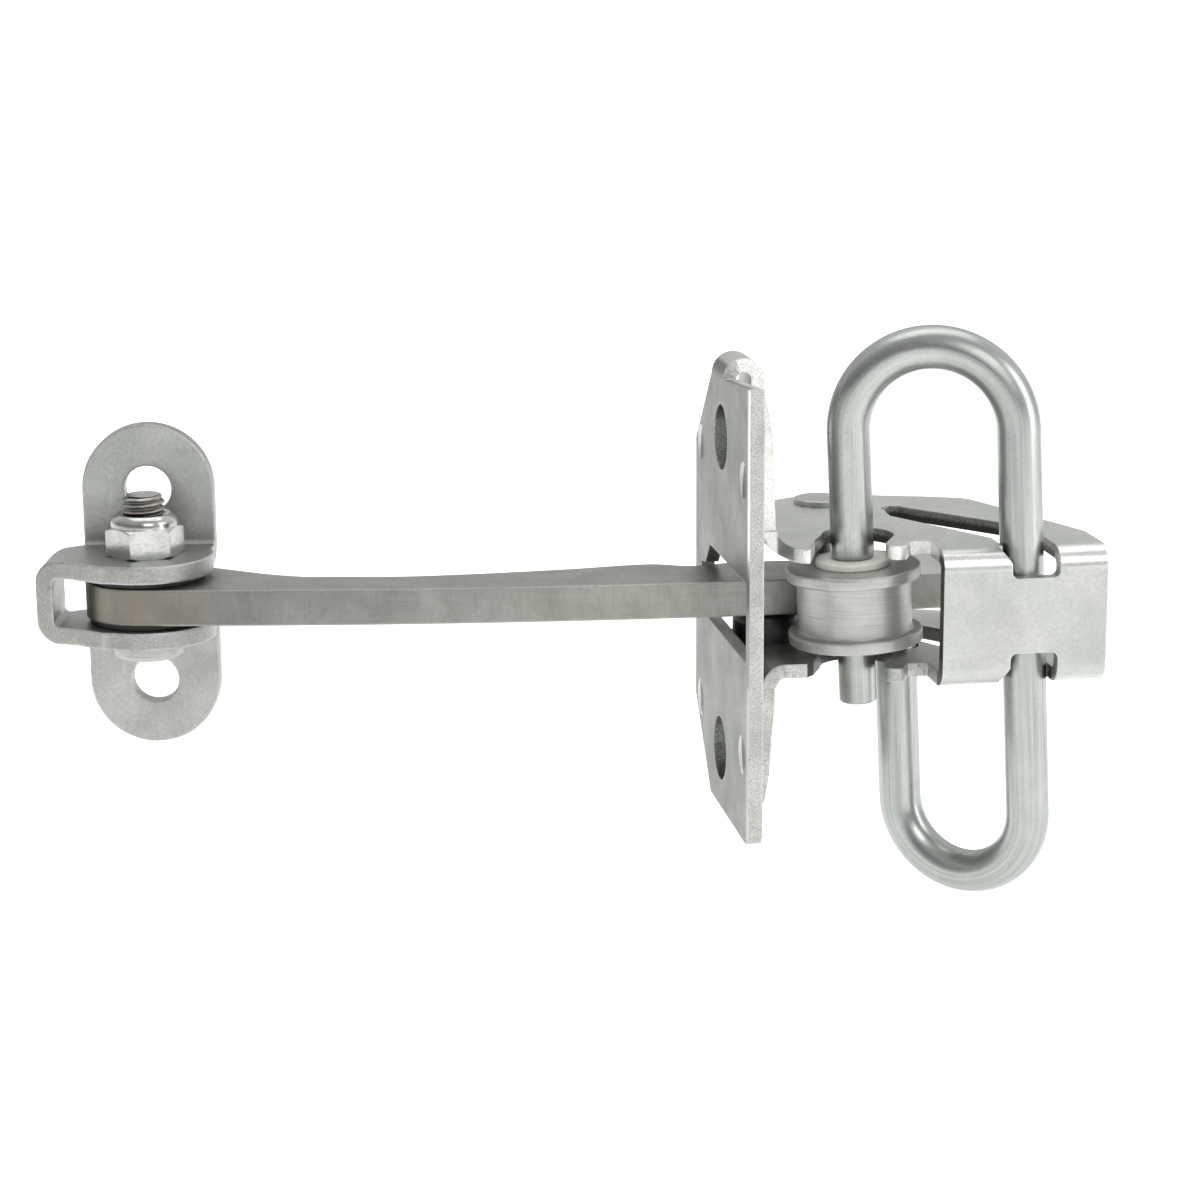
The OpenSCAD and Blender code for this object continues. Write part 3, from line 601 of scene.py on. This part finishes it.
profile = rounded([(5.1, -7.2), (12.5, -7.2), (12.5, -4.9), (10.64, -4.9), (10.64, 4.9),
                   (12.5, 4.9), (12.5, 7.2), (5.1, 7.2)], 0.45)
roller = lathe("front_roller_finish", profile, roller_matrix, ROLLER, closed=True)
stand_in(roller, "front_roller")

profile = rounded([(3.55, -7.2), (5.1, -7.2), (5.1, 7.2), (6.95, 7.2), (6.95, 8.54), (3.55, 8.54)], 0.3)
bush = lathe("front_roller_bush_finish", profile, roller_matrix, WHITE, closed=True)
stand_in(bush, "front_roller_bush")

rivet_matrix = Matrix.Translation((0.0239, 0.0221, 0))
profile = rounded([(0, -14.4), (4.5, -14.36), (4.95, -14.2), (5, -13.2), (2.5, -13.2), (2.5, 12.4),
                   (5, 12.4), (4.95, 13.4), (4.5, 13.56), (0, 13.6)], 0.12)
stand_in(lathe("counter_rivet_finish", profile, rivet_matrix, RIVET), "counter_rivet")
profile = rounded([(2.55, -10.3), (3.6, -10.3), (3.6, 9.5), (2.55, 9.5)], 0.35)
roller = lathe("counter_roller_finish", profile, rivet_matrix, DARK_STEEL, closed=True)
stand_in(roller, "counter_roller")

PIVOT = Vector((-106.8, 24.8026, -1.35)) * MM
arm_eye = Matrix.Translation(PIVOT)
for side, node in ((1, "upper_pivot_bush"), (-1, "lower_pivot_bush")):
    profile = rounded([(5.55, side * 0.15), (6.5, side * 0.15), (6.5, side * 3.42), (11, side * 3.42),
                       (11, side * 4.65), (5.55, side * 4.65)], 0.25)
    stand_in(lathe(node + "_finish", profile, arm_eye, BLACK, closed=True), node)

bracket_matrix = Matrix.Translation(PIVOT) @ Matrix.Rotation(math.radians(-8.5), 4, "Z")
profile = rounded([(4.05, -4.7), (5.5, -4.7), (5.5, 4.7), (4.05, 4.7)], 0.2)
stand_in(lathe("pivot_sleeve_finish", profile, bracket_matrix, ROLLER, closed=True), "pivot_sleeve")

profile = rounded([(4.02, 13.82), (4.78, 13.82), (4.78, 15.46), (4.02, 15.46)], 0.2)
stand_in(lathe("lock_nut_insert_finish", profile, bracket_matrix, WHITE, closed=True),
         "lock_nut_insert")


def threaded_bolt():
    """Pivot bolt with a low round head, a plain shank and a rolled thread at its end."""
    end, pitch, segments = 19.6, 1.25, 64
    thread_start, thread_depth, chamfer = 13.6, 0.56, 0.75
    head = rounded([(0, -12), (5, -11.98), (6.2, -11.8), (6.75, -11.2), (6.75, -8.0), (4.0, -8.0)], 0.35)
    bm = bmesh.new()
    rows = [(r, z, 0.0) for r, z in head] + [(4.0, 0.0, 0.0), (4.0, 13.5, 0.0)]
    z = thread_start
    while z < end - 0.02:
        rows.append((4.0 - max(0.0, z - (end - chamfer)), z, thread_depth))
        z += pitch / 12
    rows.append((3.2, end - 0.02, 0.0))
    rings = []
    for r, zz, depth in rows:
        if r < 1e-6:
            rings.append([bm.verts.new((0, 0, zz * MM))])
            continue
        ring = []
        for i in range(segments):
            turn = i / segments
            wave = abs(((zz / pitch - turn) % 1.0) * 2 - 1)
            rr = r - depth * min(1.0, max(0.0, wave * 1.35 - 0.12))
            ring.append(bm.verts.new((rr * MM * math.cos(2 * math.pi * turn),
                                      rr * MM * math.sin(2 * math.pi * turn), zz * MM)))
        rings.append(ring)
    for a, b in zip(rings, rings[1:]):
        for i in range(segments):
            j = (i + 1) % segments
            corners = list(dict.fromkeys([a[i % len(a)], a[j % len(a)], b[j % len(b)], b[i % len(b)]]))
            if len(corners) > 2:
                bm.faces.new(corners)
    tip = bm.verts.new((0, 0, end * MM))
    for i in range(segments):
        bm.faces.new([rings[-1][i], rings[-1][(i + 1) % segments], tip])
    bmesh.ops.recalc_face_normals(bm, faces=bm.faces)
    mesh = bpy.data.meshes.new("pivot_bolt_finish")
    bm.to_mesh(mesh)
    bm.free()
    mesh.transform(bracket_matrix)
    smooth(mesh, 42)
    obj = link("pivot_bolt_finish", mesh, BOLT, BRIGHT, ROLLER, DARK_STEEL)
    # thread grooves take the dark steel as painted shade, and faces pointing up take the bright zinc as a
    # painted highlight
    for f in mesh.polygons:
        height = (f.center.z - PIVOT.z) / MM
        reach = math.hypot(f.center.x - PIVOT.x, f.center.y - PIVOT.y) / MM
        in_groove = thread_start < height < end - 0.8 and reach < 3.72
        f.material_index = 3 if in_groove else 2 if height < 0 else int(f.normal.z > 0.9)
    return obj


stand_in(threaded_bolt(), "pivot_bolt")

# ---------------------------------------------------------------- sheet parts and the arm


def housing_slot(centre, normal):
    """0 sheet faces, 1 sheared edges, 2 slot and arch walls, 3 the plate's edge, 4 hole walls. Slot 1 is the
    lit copy of the sheared edge, a painted highlight; 2, 3 and 4 are darker copies with painted shade, and 2
    and 3 also take the web's end by the roller and the lower edges.
    """
    x, y, z = centre / MM
    nx, ny, nz = normal
    in_flange_bend = 5.2 < x < 10.1 and abs(z) < 15.3
    if in_flange_bend and abs(ny) < 0.5:
        return 0
    on_plate = x < 3
    on_layers = x < 8.3 and abs(z) > 9.9
    if on_plate or on_layers:
        on_hem_curve = z > 40.9 and abs(ny) < 0.5
        if abs(nx) > 0.6 or on_hem_curve:
            return 0
        in_door_hole = math.hypot(y, abs(z) - 30) < 6.5
        # hole walls take a dark copy of the edge: painted shade
        if in_door_hole:
            return 4
        # the plate's edges and the lower layers take the darker copy (painted shade), the upper layers the
        # lit one (painted highlight)
        return 3 if x < 2.7 or z < 0 else 1
    on_web = y < -22 and x > 35
    if on_web:
        faces_roller = nx < -0.7 and x < 36.3
        # the web's end by the roller takes the slot-edge material, whose painted shade makes it nearly black
        return 2 if faces_roller else 0
    on_flange_edge = abs(nz) < 0.35 and 9 < abs(z) < 13.9 and x > 9
    if on_flange_edge:
        in_slot = 34 < x < 58 and -24 < y < 17.2 and x + 0.55 * y > 33 and x + 0.42 * y < 62
        in_arch = 14 < x < 31.5 and -15 < y < 0
        # slot and arch walls take the slot-edge material, dark with painted shade below 10.9 mm in Z
        if in_slot or in_arch:
            return 2
        # upper flange edges take the lit copy (painted highlight), lower ones the darker copy (painted shade)
        return 1 if z > 0 else 3
    return 0


def bracket_slot(centre, normal):
    """0 for the sheet's faces, 1 for its edges."""
    local = bracket_matrix.inverted() @ centre / MM
    direction = bracket_matrix.inverted().to_3x3() @ normal
    on_lobe = local.y > 8.4 and abs(local.z) > 8.2
    if on_lobe:
        return 0 if abs(direction.y) > 0.6 else 1
    on_strap = local.x < -16
    if abs(direction.z) > 0.6 or on_strap and abs(direction.x) > 0.5:
        return 0
    return 1 if on_strap or abs(local.z) > 4.6 else 0


def arm_slot(centre, normal):
    """0 for the arm's top and bottom, 1 for its upright edges."""
    return 1 if abs(normal.z) < 0.5 else 0


finished("housing", ZINC, ZINC_EDGE, DARK_EDGE, PLATE_EDGE, HOLE_EDGE, slot_of=housing_slot)
finished("guide_button", SATIN_BLACK)
finished("pillar_bracket", BRACKET_ZINC, BRACKET_EDGE, slot_of=bracket_slot)
finished("check_arm", ARM, ARM_SIDE, slot_of=arm_slot)
finished("lock_nut", BRIGHT)

# ---------------------------------------------------------------- floor, light and camera


def panel(name, size, location, target, power, colour=(1, 1, 1)):
    light = bpy.data.lights.new(name, "AREA")
    light.shape = "RECTANGLE"
    light.size, light.size_y = size
    light.energy = power
    light.color = colour
    obj = bpy.data.objects.new(name, light)
    obj.location = location
    obj.rotation_euler = (Vector(target) - Vector(location)).to_track_quat("-Z", "Y").to_euler()
    bpy.context.scene.collection.objects.link(obj)
    return obj


def paper(name, low, high, z):
    mesh = bpy.data.meshes.new(name)
    mesh.from_pydata([(low[0], low[1], z), (high[0], low[1], z), (high[0], high[1], z), (low[0], high[1], z)],
                     [], [(0, 1, 2, 3)])
    n = Nodes(name)
    grain = n.noise(n.mapped((1, 1, 1)), 300, 2, 0.5)
    colour = n.ramp(grain, [(0.3, (0.90, 0.90, 0.90)), (0.7, (0.92, 0.92, 0.92))])
    mat = n.finish(colour, 0.9, None, metallic=0.0, specular=0.1)
    n.bsdf.inputs["Emission Color"].default_value = (1, 1, 1, 1)
    n.bsdf.inputs["Emission Strength"].default_value = 0.62
    return link(name, mesh, mat)


floor = paper("floor", (-12, -12), (12, 12), -0.075)


def studio_world():
    """Soft room: bright overhead and behind the object, dimmer at the sides and in front."""
    world = bpy.data.worlds.new("studio")
    world.use_nodes = True
    tree = world.node_tree
    background = tree.nodes["Background"]
    coord = tree.nodes.new("ShaderNodeTexCoord")
    split = tree.nodes.new("ShaderNodeSeparateXYZ")
    tree.links.new(coord.outputs["Generated"], split.inputs[0])

    def band(axis, low, high, strength):
        node = tree.nodes.new("ShaderNodeMapRange")
        node.interpolation_type = "SMOOTHSTEP"
        for i, v in enumerate((low, high, 0.0, strength), start=1):
            node.inputs[i].default_value = v
        tree.links.new(split.outputs[axis], node.inputs[0])
        return node.outputs[0]

    total = None
    for piece in (band("Z", 0.25, 0.8, 0.42), band("Y", 0.1, 0.7, 0.42), band("X", -0.35, -0.85, 0.08),
                  band("X", 0.35, 0.85, 0.50)):
        if total is None:
            total = piece
            continue
        add = tree.nodes.new("ShaderNodeMath")
        add.operation = "ADD"
        tree.links.new(total, add.inputs[0])
        tree.links.new(piece, add.inputs[1])
        total = add.outputs[0]
    lift = tree.nodes.new("ShaderNodeMath")
    lift.operation = "ADD"
    lift.inputs[1].default_value = 0.24
    tree.links.new(total, lift.inputs[0])
    background.inputs[0].default_value = (1, 1, 1, 1)
    tree.links.new(lift.outputs[0], background.inputs[1])
    return world


bpy.context.scene.world = studio_world()
bpy.context.scene.view_settings.view_transform = "Standard"

panel("key", (0.5, 0.5), (0.15, -0.85, 0.55), (0, 0, 0), 2.4)
panel("fill", (0.4, 0.8), (0.80, -0.35, 0.25), (0, 0, 0), 3)
panel("top", (0.9, 0.5), (0.0, 0.15, 0.85), (0, 0, 0), 2.5)

YAW, PITCH, ROLL = math.radians(8.47), math.radians(13.06), math.radians(-0.39)
forward = Vector((math.sin(YAW) * math.cos(PITCH), math.cos(YAW) * math.cos(PITCH), -math.sin(PITCH)))
right = Vector((math.cos(YAW), -math.sin(YAW), 0))
up = right.cross(forward)
right, up = (right * math.cos(ROLL) + up * math.sin(ROLL), up * math.cos(ROLL) - right * math.sin(ROLL))
camera_data = bpy.data.cameras.new("camera")
camera_data.sensor_width = 36
camera_data.lens = 85.98
camera_data.clip_start = 0.01
camera = bpy.data.objects.new("camera", camera_data)
axes = Matrix((right, up, -forward)).transposed().to_4x4()
camera.matrix_world = Matrix.Translation((-0.0999, -0.5168, 0.1210)) @ axes
bpy.context.scene.collection.objects.link(camera)
bpy.context.scene.camera = camera
